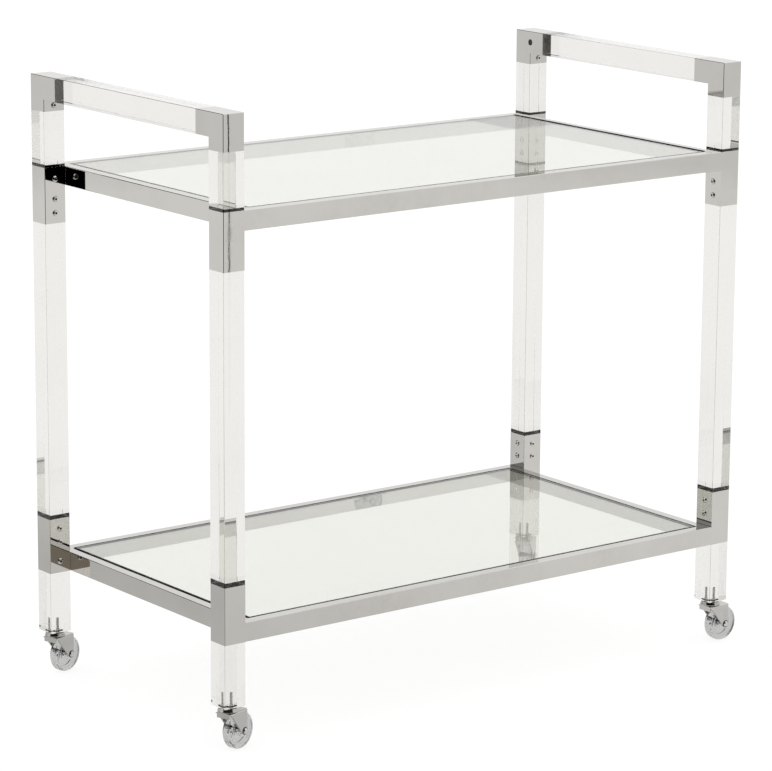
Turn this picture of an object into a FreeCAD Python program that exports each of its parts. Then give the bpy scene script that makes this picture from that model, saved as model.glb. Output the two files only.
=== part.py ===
import FreeCAD, Part
import math
import os

"""Two-shelf bar cart: clear square posts joined by chrome sleeves, glass shelves, four casters.

X runs along the cart, -Y is its front, +Z is up. The origin lies on the floor under the middle
of the four posts. Every piece is one STEP file; all sizes are in millimetres.
"""

# Driving dimensions: posts and heights
BAR = 32.0                  # side of the square acrylic bar and of the chrome round it
CART_LENGTH = 864.0         # over the posts, along X
CART_DEPTH = 448.0          # over the posts, along Y
CASTER_HEIGHT = 63.0        # floor to the underside of a foot
FOOT_CLEAR = 85.0           # acrylic that shows under the lower sleeve
SLEEVE_LENGTH = 76.0
MID_CLEAR = 407.0           # acrylic that shows between the two sleeves
TOP_CLEAR = 75.0            # acrylic that shows between the upper sleeve and the handle bracket
BRACKET_HEIGHT = 48.0
BRACKET_REACH = 60.0        # length of a handle bracket's arm, from the post's outer face
TUBE_WALL = 1.5
EDGE_RADIUS = 0.8           # eased edges of the chrome and the acrylic

# Driving dimensions: tenons and screws
TENON_GAP = 0.2             # between a tenon and the tube round it
MID_TENON = 46.0            # length of a middle post's tenon inside a sleeve
SHORT_TENON = 26.0          # length of a top or foot post's tenon inside a sleeve
BRACKET_TENON = 15.0        # top post's tenon inside the handle bracket
HANDLE_TENON = 40.0         # handle bar's tenon inside the bracket's arm
SCREW_RADIUS = 2.5
SCREW_HOLE_RADIUS = 2.55
SCREW_LENGTH = 10.0
SCREW_HEAD_RADIUS = 4.2
SCREW_HEAD_HEIGHT = 2.3
SCREW_SOCKET_ACROSS = 3.0   # hexagon socket, across the flats
SCREW_SOCKET_DEPTH = 1.3
SLEEVE_SCREWS = (14.0, 33.0, 60.0)   # from the sleeve's end that is away from the shelf
BRACKET_SCREW_DROP = 8.0    # below the underside of the arm
ACCESS_HOLE_RADIUS = 4.6    # hole in the side of two of the brackets

# Driving dimensions: shelves
RAIL_WIDTH = 15.0
RAIL_HEIGHT = 26.0
RAIL_EDGE_RADIUS = 1.0
LEDGE_WIDTH = 7.0
LEDGE_THICKNESS = 2.0
GLASS_THICKNESS = 5.0
GLASS_CORNER_RADIUS = 3.0
GLASS_EDGE_CHAMFER = 0.5
GASKET_WIDTH = 1.5
GASKET_PROUD = 0.4          # how far the gasket stands above the rails

# Driving dimensions: casters
WHEEL_RADIUS = 25.0
WHEEL_WIDTH = 16.0
WHEEL_EDGE_RADIUS = 5.0
WEB_RECESS_DEPTH = 2.5
WEB_RECESS_OUTER = 18.0
HUB_RADIUS = 8.0
HUB_FACE_PROUD = 1.2        # hub face beyond the side of the wheel
AXLE_RADIUS = 3.0
AXLE_HEAD_RADIUS = 4.2
AXLE_HEAD_HEIGHT = 2.0
RUNNING_GAP = 0.05          # radial clearance of the axle and of the king pin
TRAIL = 20.0                # from the swivel axis to the axle
FORK_INNER_WIDTH = 20.0
FORK_SHEET = 2.0
FORK_TOP = 54.5             # height of the fork's top face above the floor
FORK_FRONT = 11.0           # reach of the top plate ahead of the swivel axis
FORK_LEG_FRONT = 10.0       # where a leg's slanted edge starts, ahead of the swivel axis
FORK_TIP_RADIUS = 5.0       # round end of a leg, about the axle
FORK_LIP = 7.0              # depth of the turned-down front edge
LOWER_RACE_RADIUS = 10.0
CUP_RADIUS = 14.0
CUP_EDGE_RADIUS = 2.5
CUP_LIFT = 1.0              # gap between the cup's rim and the fork
BALL_RADIUS = 2.0
BALL_CIRCLE_RADIUS = 7.5
BALL_COUNT = 8
RACE_GAP = 0.3              # between the balls and the turning fork
STUD_RADIUS = 3.0
STUD_LENGTH = 19.0          # inside the foot
SHOULDER_RADIUS = 4.5
SHOULDER_LENGTH = 3.5       # inside the foot
STUD_GAP = 0.1
KING_PIN_HEAD_RADIUS = 5.0
KING_PIN_HEAD_HEIGHT = 2.0
KING_PIN_HEAD_GAP = 0.3     # below the fork's top plate

# Corner name: side along X, side along Y, direction the caster trails in degrees from +X
CORNERS = {
    "front_left": (-1, -1, 18.0),
    "back_left": (-1, 1, 18.0),
    "front_right": (1, -1, 2.0),
    "back_right": (1, 1, 35.0),
}
BRACKETS_WITH_ACCESS_HOLE = ("front_left", "back_right")

# Places worked out from the driving dimensions
HALF_LENGTH = CART_LENGTH / 2
HALF_DEPTH = CART_DEPTH / 2
POST_X = HALF_LENGTH - BAR / 2
POST_Y = HALF_DEPTH - BAR / 2
LOWER_SLEEVE_Z = CASTER_HEIGHT + FOOT_CLEAR
MID_POST_Z = LOWER_SLEEVE_Z + SLEEVE_LENGTH
UPPER_SLEEVE_Z = MID_POST_Z + MID_CLEAR
TOP_POST_Z = UPPER_SLEEVE_Z + SLEEVE_LENGTH
BRACKET_Z = TOP_POST_Z + TOP_CLEAR
CART_TOP = BRACKET_Z + BRACKET_HEIGHT
LOWER_SHELF_Z = LOWER_SLEEVE_Z + RAIL_HEIGHT
UPPER_SHELF_Z = TOP_POST_Z
FRAME_X = HALF_LENGTH - BAR
OPENING_X = FRAME_X - RAIL_WIDTH
OPENING_Y = HALF_DEPTH - RAIL_WIDTH
TENON_SIDE = BAR - 2 * (TUBE_WALL + TENON_GAP)
SMALL = 1.0                 # how far a cutting tool runs past the face it cuts
PARALLEL = 0.999            # least cosine between an edge and the axis it counts as following
TOUCH = 0.01                # places closer than this count as the same

X_AXIS = FreeCAD.Vector(1, 0, 0)
Y_AXIS = FreeCAD.Vector(0, 1, 0)
Z_AXIS = FreeCAD.Vector(0, 0, 1)
ORIGIN = FreeCAD.Vector(0, 0, 0)


def block(x_range, y_range, z_range):
    """Box between two values along each axis, given in either order."""
    low = FreeCAD.Vector(min(x_range), min(y_range), min(z_range))
    high = FreeCAD.Vector(max(x_range), max(y_range), max(z_range))
    size = high - low
    return Part.makeBox(size.x, size.y, size.z, low)


def square_prism(side, centre, z_low, z_high):
    """Upright square prism about a centre (x, y)."""
    half = side / 2
    x, y = centre
    return block((x - half, x + half), (y - half, y + half), (z_low, z_high))


def edge_direction(edge):
    """Unit vector along a straight edge."""
    start, end = (vertex.Point for vertex in edge.Vertexes)
    return (end - start).normalize()


def edges_along(shape, axis):
    """Straight edges of a shape that run along an axis."""
    return [edge for edge in shape.Edges if abs(edge_direction(edge).dot(axis)) > PARALLEL]


def rod(radius, start, direction, length):
    """Cylinder from a start point."""
    return Part.makeCylinder(radius, length, start, direction)


def extrude_outline(points, direction):
    """Solid from a closed outline of straight lines, pushed along a vector."""
    outline = Part.makePolygon(points + points[:1])
    return Part.Face(outline).extrude(direction)


def post_centre(corner):
    """Centre (x, y) of the post at a corner."""
    side_x, side_y, _ = CORNERS[corner]
    return side_x * POST_X, side_y * POST_Y


# Screws -------------------------------------------------------------------


def sleeve_screw_sites(corner, sleeve_low, far_end_up):
    """Head seats and inward directions of the five screws of a sleeve.

    The face towards the other post on Y takes three screws. The face towards the other post on X
    takes two, because the shelf covers the third place.
    """
    side_x, side_y, _ = CORNERS[corner]
    x, y = post_centre(corner)
    if far_end_up:
        heights = [sleeve_low + SLEEVE_LENGTH - drop for drop in SLEEVE_SCREWS]
    else:
        heights = [sleeve_low + rise for rise in SLEEVE_SCREWS]
    y_face = y - side_y * BAR / 2
    x_face = x - side_x * BAR / 2
    sites = [(FreeCAD.Vector(x, y_face, z), Y_AXIS * side_y) for z in heights]
    sites += [(FreeCAD.Vector(x_face, y, z), X_AXIS * side_x) for z in heights[:2]]
    return sites


def bracket_screw_site(corner):
    """Head seat and inward direction of the screw of a handle bracket."""
    _, side_y, _ = CORNERS[corner]
    x, y = post_centre(corner)
    seat = FreeCAD.Vector(x, y - side_y * BAR / 2, CART_TOP - BAR - BRACKET_SCREW_DROP)
    return seat, Y_AXIS * side_y


def screw_sites(corner):
    """All screw sites of a corner."""
    sites = sleeve_screw_sites(corner, LOWER_SLEEVE_Z, far_end_up=True)
    sites += sleeve_screw_sites(corner, UPPER_SLEEVE_Z, far_end_up=False)
    return sites + [bracket_screw_site(corner)]


def button_screw():
    """Button-head screw with its seat at the origin and its shank along +Z."""
    chord = SCREW_HEAD_RADIUS ** 2 + SCREW_HEAD_HEIGHT ** 2
    dome_radius = chord / (2 * SCREW_HEAD_HEIGHT)
    dome_centre = FreeCAD.Vector(0, 0, dome_radius - SCREW_HEAD_HEIGHT)
    dome = Part.makeSphere(dome_radius, dome_centre)
    head = dome.common(rod(SCREW_HEAD_RADIUS, ORIGIN, -Z_AXIS, SCREW_HEAD_HEIGHT))
    socket_points = []
    corner_radius = SCREW_SOCKET_ACROSS / math.sqrt(3)
    for index in range(6):
        angle = math.radians(60 * index)
        x = corner_radius * math.cos(angle)
        y = corner_radius * math.sin(angle)
        socket_points.append(FreeCAD.Vector(x, y, -SCREW_HEAD_HEIGHT - SMALL))
    socket = extrude_outline(socket_points, Z_AXIS * (SCREW_SOCKET_DEPTH + SMALL))
    return head.cut(socket).fuse(rod(SCREW_RADIUS, ORIGIN, Z_AXIS, SCREW_LENGTH))


def place_along(shape, seat, direction):
    """Copy of a shape built along +Z, turned to a direction and moved to its seat."""
    placed = shape.copy()
    turn = FreeCAD.Rotation(Z_AXIS, direction)
    placed.Placement = FreeCAD.Placement(seat, turn)
    return placed


def drill_screw_holes(shape, corner):
    """Cut the holes of a corner's screws where they meet a shape."""
    for seat, direction in screw_sites(corner):
        start = seat - direction * SMALL
        length = SCREW_LENGTH + SMALL + TENON_GAP
        hole = rod(SCREW_HOLE_RADIUS, start, direction, length)
        if hole.BoundBox.intersect(shape.BoundBox):
            shape = shape.cut(hole)
    return shape


def make_screws():
    """All 44 identical screws."""
    screw = button_screw()
    sites = [site for corner in CORNERS for site in screw_sites(corner)]
    return Part.makeCompound([place_along(screw, seat, direction) for seat, direction in sites])


# Acrylic posts and handle bars --------------------------------------------


def acrylic_post(corner, z_low, z_high, tenon_low, tenon_high):
    """Square bar with a tenon on each end; a tenon of no length is left out."""
    centre = post_centre(corner)
    body = square_prism(BAR, centre, z_low, z_high)
    body = body.makeFillet(EDGE_RADIUS, edges_along(body, Z_AXIS))
    if tenon_low:
        body = body.fuse(square_prism(TENON_SIDE, centre, z_low - tenon_low, z_low))
    if tenon_high:
        body = body.fuse(square_prism(TENON_SIDE, centre, z_high, z_high + tenon_high))
    return drill_screw_holes(body, corner)


def top_post(corner):
    """Post between an upper sleeve and a handle bracket."""
    return acrylic_post(corner, TOP_POST_Z, BRACKET_Z, SHORT_TENON, BRACKET_TENON)


def mid_post(corner):
    """Post between the two sleeves."""
    return acrylic_post(corner, MID_POST_Z, UPPER_SLEEVE_Z, MID_TENON, MID_TENON)


def foot_post(corner):
    """Post below the lower sleeve, bored from below for the caster's stud and shoulder."""
    foot = acrylic_post(corner, CASTER_HEIGHT, LOWER_SLEEVE_Z, 0, SHORT_TENON)
    x, y = post_centre(corner)
    start = FreeCAD.Vector(x, y, CASTER_HEIGHT - SMALL)
    foot = foot.cut(rod(STUD_RADIUS + STUD_GAP, start, Z_AXIS, STUD_LENGTH + SMALL + STUD_GAP))
    shoulder_depth = SHOULDER_LENGTH + SMALL + STUD_GAP
    return foot.cut(rod(SHOULDER_RADIUS + STUD_GAP, start, Z_AXIS, shoulder_depth))


def handle_bar(side_x):
    """Square bar along Y between the two brackets of one end, with a tenon in each."""
    x = side_x * POST_X
    reach = HALF_DEPTH - BRACKET_REACH
    x_range = (x - BAR / 2, x + BAR / 2)
    body = block(x_range, (-reach, reach), (CART_TOP - BAR, CART_TOP))
    body = body.makeFillet(EDGE_RADIUS, edges_along(body, Y_AXIS))
    half = TENON_SIDE / 2
    z = CART_TOP - BAR / 2
    tenon_reach = reach + HANDLE_TENON
    tenon = block((x - half, x + half), (-tenon_reach, tenon_reach), (z - half, z + half))
    return body.fuse(tenon)


# Chrome brackets, sleeves and rails ---------------------------------------


def handle_bracket(corner):
    """Square-tube elbow: a leg over the post and an arm towards the handle bar."""
    side_x, side_y, _ = CORNERS[corner]
    x, y = post_centre(corner)
    outer_y = side_y * HALF_DEPTH
    arm_end = outer_y - side_y * BRACKET_REACH
    x_range = (x - BAR / 2, x + BAR / 2)
    arm = block(x_range, (outer_y, arm_end), (CART_TOP - BAR, CART_TOP))
    leg = block(x_range, (outer_y, outer_y - side_y * BAR), (BRACKET_Z, CART_TOP))
    elbow = arm.fuse(leg).removeSplitter()
    elbow = elbow.makeFillet(EDGE_RADIUS, bracket_edges(elbow, outer_y, arm_end))

    half = BAR / 2 - TUBE_WALL
    inner_x = (x - half, x + half)
    inner_top = CART_TOP - TUBE_WALL
    leg_bore = block(inner_x, (y - half, y + half), (BRACKET_Z - SMALL, inner_top))
    arm_y = (outer_y - side_y * TUBE_WALL, arm_end - side_y * SMALL)
    arm_bore = block(inner_x, arm_y, (CART_TOP - BAR + TUBE_WALL, inner_top))
    elbow = elbow.cut(leg_bore.fuse(arm_bore))
    if corner in BRACKETS_WITH_ACCESS_HOLE:
        inner_face_x = x - side_x * (BAR / 2 + SMALL)
        start = FreeCAD.Vector(inner_face_x, y - side_y * BAR / 2, CART_TOP - BAR / 2)
        elbow = elbow.cut(rod(ACCESS_HOLE_RADIUS, start, X_AXIS * side_x, TUBE_WALL + 2 * SMALL))
    return drill_screw_holes(elbow, corner)


def bracket_edges(elbow, outer_y, arm_end):
    """Outer edges of a bracket that are eased: all but those of its open ends and inner corner."""
    chosen = []
    for edge in elbow.Edges:
        points = [vertex.Point for vertex in edge.Vertexes]
        at_arm_end = all(abs(point.y - arm_end) < TOUCH for point in points)
        at_leg_end = all(abs(point.z - BRACKET_Z) < TOUCH for point in points)
        under_arm = all(abs(point.z - (CART_TOP - BAR)) < TOUCH for point in points)
        across = abs(edge_direction(edge).dot(X_AXIS)) > PARALLEL
        if not (at_arm_end or at_leg_end or (under_arm and across)):
            chosen.append(edge)
    return chosen


def sleeve(corner, z_low):
    """Square tube round the tenons of two posts, drilled for its screws.

    Its edge beside the long rail stays sharp, so that the two welded faces run into each other.
    """
    side_x, side_y, _ = CORNERS[corner]
    centre = post_centre(corner)
    tube = square_prism(BAR, centre, z_low, z_low + SLEEVE_LENGTH)
    welded = FreeCAD.Vector(side_x * FRAME_X, side_y * HALF_DEPTH, 0)
    eased = []
    for edge in edges_along(tube, Z_AXIS):
        point = edge.Vertexes[0].Point
        if math.hypot(point.x - welded.x, point.y - welded.y) > SMALL:
            eased.append(edge)
    tube = tube.makeFillet(EDGE_RADIUS, eased)
    bore = BAR - 2 * TUBE_WALL
    tube = tube.cut(square_prism(bore, centre, z_low - SMALL, z_low + SLEEVE_LENGTH + SMALL))
    return drill_screw_holes(tube, corner)


def rail_tube(length):
    """Rectangular tube along X from the origin; its outer side is at y = 0 and its top at z = 0."""
    tube = block((0, length), (0, RAIL_WIDTH), (-RAIL_HEIGHT, 0))
    tube = tube.makeFillet(RAIL_EDGE_RADIUS, edges_along(tube, X_AXIS))
    inside = block(
        (-SMALL, length + SMALL),
        (TUBE_WALL, RAIL_WIDTH - TUBE_WALL),
        (TUBE_WALL - RAIL_HEIGHT, -TUBE_WALL),
    )
    return tube.cut(inside)


def mitred_rail(length):
    """Rail with both ends cut at 45 degrees, full length on its outer side."""
    tube = rail_tube(length)
    outline = [
        FreeCAD.Vector(0, 0, -RAIL_HEIGHT - SMALL),
        FreeCAD.Vector(length, 0, -RAIL_HEIGHT - SMALL),
        FreeCAD.Vector(length - RAIL_WIDTH, RAIL_WIDTH, -RAIL_HEIGHT - SMALL),
        FreeCAD.Vector(RAIL_WIDTH, RAIL_WIDTH, -RAIL_HEIGHT - SMALL),
    ]
    keep = extrude_outline(outline, Z_AXIS * (RAIL_HEIGHT + 2 * SMALL))
    return tube.common(keep)


def shelf_rails(shelf_z):
    """The four rails of a shelf, by the side they lie on."""
    long_length = 2 * FRAME_X
    sides = {
        "front": (long_length, 0, (-FRAME_X, -HALF_DEPTH)),
        "right": (CART_DEPTH, 90, (FRAME_X, -HALF_DEPTH)),
        "back": (long_length, 180, (FRAME_X, HALF_DEPTH)),
        "left": (CART_DEPTH, 270, (-FRAME_X, HALF_DEPTH)),
    }
    rails = {}
    for side, (length, turn, (x, y)) in sides.items():
        rail = mitred_rail(length)
        rail.rotate(ORIGIN, Z_AXIS, turn)
        rail.translate(FreeCAD.Vector(x, y, shelf_z))
        rails[side] = rail
    return rails


# Glass shelves ------------------------------------------------------------


def shelf_ledge(shelf_z):
    """Four flat strips inside the rails that carry the glass."""
    z_range = (shelf_z - GLASS_THICKNESS - LEDGE_THICKNESS, shelf_z - GLASS_THICKNESS)
    strips = []
    for side in (-1, 1):
        y_range = (side * OPENING_Y, side * (OPENING_Y - LEDGE_WIDTH))
        strips.append(block((-OPENING_X, OPENING_X), y_range, z_range))
        x_range = (side * OPENING_X, side * (OPENING_X - LEDGE_WIDTH))
        inner_y = OPENING_Y - LEDGE_WIDTH
        strips.append(block(x_range, (-inner_y, inner_y), z_range))
    return Part.makeCompound(strips)


def shelf_outline(inset, z_low, z_high):
    """Plate that fills the shelf's opening less an inset, with round corners."""
    half_x = OPENING_X - inset
    half_y = OPENING_Y - inset
    plate = block((-half_x, half_x), (-half_y, half_y), (z_low, z_high))
    return plate.makeFillet(GLASS_CORNER_RADIUS, edges_along(plate, Z_AXIS))


def shelf_glass(shelf_z):
    """Glass panel flush with the rails, its long edges chamfered."""
    panel = shelf_outline(GASKET_WIDTH, shelf_z - GLASS_THICKNESS, shelf_z)
    flat_edges = [edge for edge in panel.Edges if edge.BoundBox.ZLength < TOUCH]
    return panel.makeChamfer(GLASS_EDGE_CHAMFER, flat_edges)


def shelf_gasket(shelf_z):
    """Black strip round the glass, from the ledge to just above the rails."""
    z_low = shelf_z - GLASS_THICKNESS
    z_high = shelf_z + GASKET_PROUD
    outside = block((-OPENING_X, OPENING_X), (-OPENING_Y, OPENING_Y), (z_low, z_high))
    inside = shelf_outline(GASKET_WIDTH, z_low - SMALL, z_high + SMALL)
    return outside.cut(inside)


# Casters, built with the swivel axis on the Z axis and the wheel trailing along +X ---------------


def caster_stem():
    """Stud, shoulder, race cup, king pin and riveted head, turned as one."""
    cup_low = FORK_TOP + CUP_LIFT
    cup_high = CASTER_HEIGHT
    cup = rod(CUP_RADIUS, Z_AXIS * cup_low, Z_AXIS, cup_high - cup_low)
    top_rim = [edge for edge in cup.Edges if edge.BoundBox.ZMin > cup_high - TOUCH]
    cup = cup.makeFillet(CUP_EDGE_RADIUS, top_rim)
    ceiling = ball_centre_height() + BALL_RADIUS + RUNNING_GAP
    hollow = rod(CUP_RADIUS - TUBE_WALL, Z_AXIS * (cup_low - SMALL), Z_AXIS, ceiling - cup_low + SMALL)
    cup = cup.cut(hollow)
    shoulder = rod(SHOULDER_RADIUS, Z_AXIS * CASTER_HEIGHT, Z_AXIS, SHOULDER_LENGTH)
    stud = rod(STUD_RADIUS, Z_AXIS * CASTER_HEIGHT, Z_AXIS, STUD_LENGTH)
    pin_end = FORK_TOP - FORK_SHEET - KING_PIN_HEAD_GAP
    pin = rod(AXLE_RADIUS, Z_AXIS * pin_end, Z_AXIS, CASTER_HEIGHT - pin_end)
    head = rod(KING_PIN_HEAD_RADIUS, Z_AXIS * pin_end, -Z_AXIS, KING_PIN_HEAD_HEIGHT)
    return cup.fuse([shoulder, stud, pin, head]).removeSplitter()


def ball_centre_height():
    """Height of the ball circle, so that the cup's top stays one wall thick."""
    return CASTER_HEIGHT - TUBE_WALL - RUNNING_GAP - BALL_RADIUS


def caster_balls():
    """Ring of bearing balls under the cup."""
    balls = []
    for index in range(BALL_COUNT):
        angle = 2 * math.pi * index / BALL_COUNT
        x = BALL_CIRCLE_RADIUS * math.cos(angle)
        y = BALL_CIRCLE_RADIUS * math.sin(angle)
        balls.append(Part.makeSphere(BALL_RADIUS, FreeCAD.Vector(x, y, ball_centre_height())))
    return Part.makeCompound(balls)


def tangent_point(point, centre, radius):
    """Where a line from an outside point touches a circle, on the circle's lower left side."""
    across = centre - point
    lean = math.atan2(across.z, across.x) - math.asin(radius / across.Length)
    outward = lean - math.pi / 2
    return centre + FreeCAD.Vector(math.cos(outward), 0, math.sin(outward)) * radius


def fork_side_profile(half_width):
    """What a fork covers seen from its side: two tapered legs and the top plate."""
    axle = FreeCAD.Vector(TRAIL, -half_width, WHEEL_RADIUS)
    leg_top_front = FreeCAD.Vector(-FORK_LEG_FRONT, -half_width, FORK_TOP)
    rear = TRAIL + FORK_TIP_RADIUS
    outline = [
        leg_top_front,
        FreeCAD.Vector(rear, -half_width, FORK_TOP),
        FreeCAD.Vector(rear, -half_width, WHEEL_RADIUS),
        axle,
        tangent_point(leg_top_front, axle, FORK_TIP_RADIUS),
    ]
    depth = 2 * half_width
    legs = extrude_outline(outline, Y_AXIS * depth)
    tip = rod(FORK_TIP_RADIUS, axle, Y_AXIS, depth)
    plate = block((-FORK_FRONT, rear), (-half_width, half_width), (FORK_TOP - FORK_SHEET, FORK_TOP))
    return legs.fuse([tip, plate])


def caster_fork():
    """Bent sheet fork with a turned-down front edge and a raised lower race."""
    half_width = FORK_INNER_WIDTH / 2 + FORK_SHEET
    x_range = (-FORK_FRONT, TRAIL + FORK_TIP_RADIUS)
    channel = block(x_range, (-half_width, half_width), (0, FORK_TOP))
    bends = [edge for edge in edges_along(channel, X_AXIS) if edge.BoundBox.ZMin > FORK_TOP - TOUCH]
    channel = channel.makeFillet(FORK_SHEET, bends)
    inner_half = FORK_INNER_WIDTH / 2
    inside_x = (x_range[0] - SMALL, x_range[1] + SMALL)
    inside_top = FORK_TOP - FORK_SHEET
    channel = channel.cut(block(inside_x, (-inner_half, inner_half), (-SMALL, inside_top)))
    fork = channel.common(fork_side_profile(half_width))
    lip_x = (-FORK_FRONT, FORK_SHEET - FORK_FRONT)
    fork = fork.fuse(block(lip_x, (-inner_half, inner_half), (FORK_TOP - FORK_LIP, inside_top)))
    race_height = ball_centre_height() - BALL_RADIUS - RACE_GAP - FORK_TOP
    fork = fork.fuse(rod(LOWER_RACE_RADIUS, Z_AXIS * FORK_TOP, Z_AXIS, race_height))
    pin_hole = rod(AXLE_RADIUS + RUNNING_GAP, Z_AXIS * WHEEL_RADIUS, Z_AXIS, CASTER_HEIGHT)
    axle_start = FreeCAD.Vector(TRAIL, -half_width - SMALL, WHEEL_RADIUS)
    axle_hole = rod(AXLE_RADIUS + RUNNING_GAP, axle_start, Y_AXIS, 2 * (half_width + SMALL))
    return fork.cut(pin_hole.fuse(axle_hole)).removeSplitter()


def caster_wheel():
    """Moulded clear wheel with rounded tread edges, a recessed web and a hub."""
    start = FreeCAD.Vector(TRAIL, -WHEEL_WIDTH / 2, WHEEL_RADIUS)
    wheel = rod(WHEEL_RADIUS, start, Y_AXIS, WHEEL_WIDTH)
    rims = [edge for edge in wheel.Edges if edge.BoundBox.YLength < TOUCH]
    wheel = wheel.makeFillet(WHEEL_EDGE_RADIUS, rims)
    for side in (-1, 1):
        face = FreeCAD.Vector(TRAIL, side * WHEEL_WIDTH / 2, WHEEL_RADIUS)
        recess = rod(WEB_RECESS_OUTER, face + Y_AXIS * side, Y_AXIS * -side, WEB_RECESS_DEPTH + SMALL)
        recess = recess.cut(rod(HUB_RADIUS, face + Y_AXIS * side, Y_AXIS * -side, WHEEL_WIDTH / 2))
        wheel = wheel.cut(recess)
        wheel = wheel.fuse(rod(HUB_RADIUS, face, Y_AXIS * side, HUB_FACE_PROUD))
    bore_start = start - Y_AXIS * WHEEL_WIDTH
    return wheel.cut(rod(AXLE_RADIUS + RUNNING_GAP, bore_start, Y_AXIS, 3 * WHEEL_WIDTH))


def caster_axle():
    """Rivet through the fork with a domed head on each side."""
    half_width = FORK_INNER_WIDTH / 2 + FORK_SHEET
    centre = FreeCAD.Vector(TRAIL, 0, WHEEL_RADIUS)
    axle = rod(AXLE_RADIUS, centre - Y_AXIS * half_width, Y_AXIS, 2 * half_width)
    dome_radius = (AXLE_HEAD_RADIUS ** 2 + AXLE_HEAD_HEIGHT ** 2) / (2 * AXLE_HEAD_HEIGHT)
    for side in (-1, 1):
        face = centre + Y_AXIS * side * half_width
        dome_centre = face + Y_AXIS * side * (AXLE_HEAD_HEIGHT - dome_radius)
        disc = rod(AXLE_HEAD_RADIUS, face, Y_AXIS * side, AXLE_HEAD_HEIGHT)
        axle = axle.fuse(disc.common(Part.makeSphere(dome_radius, dome_centre)))
    return axle


def place_caster_piece(piece, corner):
    """Copy of a caster piece, turned to its trailing direction and set under its post."""
    placed = piece.copy()
    placed.rotate(ORIGIN, Z_AXIS, CORNERS[corner][2])
    x, y = post_centre(corner)
    placed.translate(FreeCAD.Vector(x, y, 0))
    return placed


# Assembly -----------------------------------------------------------------


def frame_nodes():
    """Every fixed piece but the casters' own, by node name."""
    nodes = {"frame_screws": make_screws()}
    for corner in CORNERS:
        nodes[f"handle_bracket_{corner}"] = handle_bracket(corner)
        nodes[f"top_post_{corner}"] = top_post(corner)
        nodes[f"upper_sleeve_{corner}"] = sleeve(corner, UPPER_SLEEVE_Z)
        nodes[f"mid_post_{corner}"] = mid_post(corner)
        nodes[f"lower_sleeve_{corner}"] = sleeve(corner, LOWER_SLEEVE_Z)
        nodes[f"foot_post_{corner}"] = foot_post(corner)
    for name, side_x in (("left", -1), ("right", 1)):
        nodes[f"handle_bar_{name}"] = handle_bar(side_x)
    for level, shelf_z in (("lower", LOWER_SHELF_Z), ("upper", UPPER_SHELF_Z)):
        nodes[f"{level}_ledge"] = shelf_ledge(shelf_z)
        nodes[f"{level}_glass"] = shelf_glass(shelf_z)
        nodes[f"{level}_gasket"] = shelf_gasket(shelf_z)
        for side, rail in shelf_rails(shelf_z).items():
            nodes[f"{level}_rail_{side}"] = rail
    return nodes


def caster_nodes():
    """Every caster piece, by node name; the balls of all four casters share one node."""
    pieces = {
        "caster_stem": caster_stem(),
        "caster_fork": caster_fork(),
        "caster_wheel": caster_wheel(),
        "caster_axle": caster_axle(),
    }
    nodes = {}
    for corner in CORNERS:
        for name, piece in pieces.items():
            nodes[f"{name}_{corner}"] = place_caster_piece(piece, corner)
    balls = caster_balls()
    rings = [place_caster_piece(balls, corner) for corner in CORNERS]
    nodes["caster_balls"] = Part.makeCompound([ball for ring in rings for ball in ring.Solids])
    return nodes


def main():
    """Write one STEP file per node."""
    os.makedirs("parts", exist_ok=True)
    nodes = {**frame_nodes(), **caster_nodes()}
    for name, shape in sorted(nodes.items()):
        if not shape.isValid():
            raise ValueError(f"{name} is not a valid shape")
        shape.exportStep(f"parts/{name}.step")
    print(len(nodes), "nodes written")


main()
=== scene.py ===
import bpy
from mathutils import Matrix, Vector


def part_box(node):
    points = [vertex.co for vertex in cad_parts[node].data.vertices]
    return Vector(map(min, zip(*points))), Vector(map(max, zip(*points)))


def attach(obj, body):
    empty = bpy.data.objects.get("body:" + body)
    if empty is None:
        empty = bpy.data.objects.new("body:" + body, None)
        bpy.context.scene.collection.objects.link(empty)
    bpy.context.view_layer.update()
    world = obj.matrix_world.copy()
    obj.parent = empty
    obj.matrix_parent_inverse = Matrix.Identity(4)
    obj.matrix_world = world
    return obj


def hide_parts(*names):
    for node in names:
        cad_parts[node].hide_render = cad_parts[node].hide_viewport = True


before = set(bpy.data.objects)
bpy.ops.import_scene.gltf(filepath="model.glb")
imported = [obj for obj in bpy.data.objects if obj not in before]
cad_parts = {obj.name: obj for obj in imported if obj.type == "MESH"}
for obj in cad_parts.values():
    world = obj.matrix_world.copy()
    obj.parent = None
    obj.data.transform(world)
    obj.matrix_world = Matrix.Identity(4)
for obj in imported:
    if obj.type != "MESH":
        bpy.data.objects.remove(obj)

"""Dressed model of a two-shelf bar cart: clear acrylic posts, chrome fittings, glass shelves, casters.

X runs along the cart, -Y is its front and +Z is up, in metres. Every sub-assembly is a class that
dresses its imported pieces, or builds finer ones in their place, and every finish is a class that
builds one node material.
"""

import logging
import math
from dataclasses import dataclass
from enum import Enum

import bmesh
import bpy
from mathutils import Vector

log = logging.getLogger("bar_cart")

TOUCH = 0.00001             # places closer than this count as the same

# Sockets of the Mix node when it mixes colours
MIX_SHARE = 0
MIX_FIRST = 6
MIX_SECOND = 7
MIX_RESULT = 2

Triple = tuple[float, float, float]
Outline = list[tuple[float, float]]


class Corner(Enum):
    """The four posts of the cart."""

    FRONT_LEFT = "front_left"
    BACK_LEFT = "back_left"
    FRONT_RIGHT = "front_right"
    BACK_RIGHT = "back_right"


class Side(Enum):
    """The four sides of a shelf."""

    FRONT = "front"
    RIGHT = "right"
    BACK = "back"
    LEFT = "left"


class Level(Enum):
    """The two shelves of the cart."""

    LOWER = "lower"
    UPPER = "upper"


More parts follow.
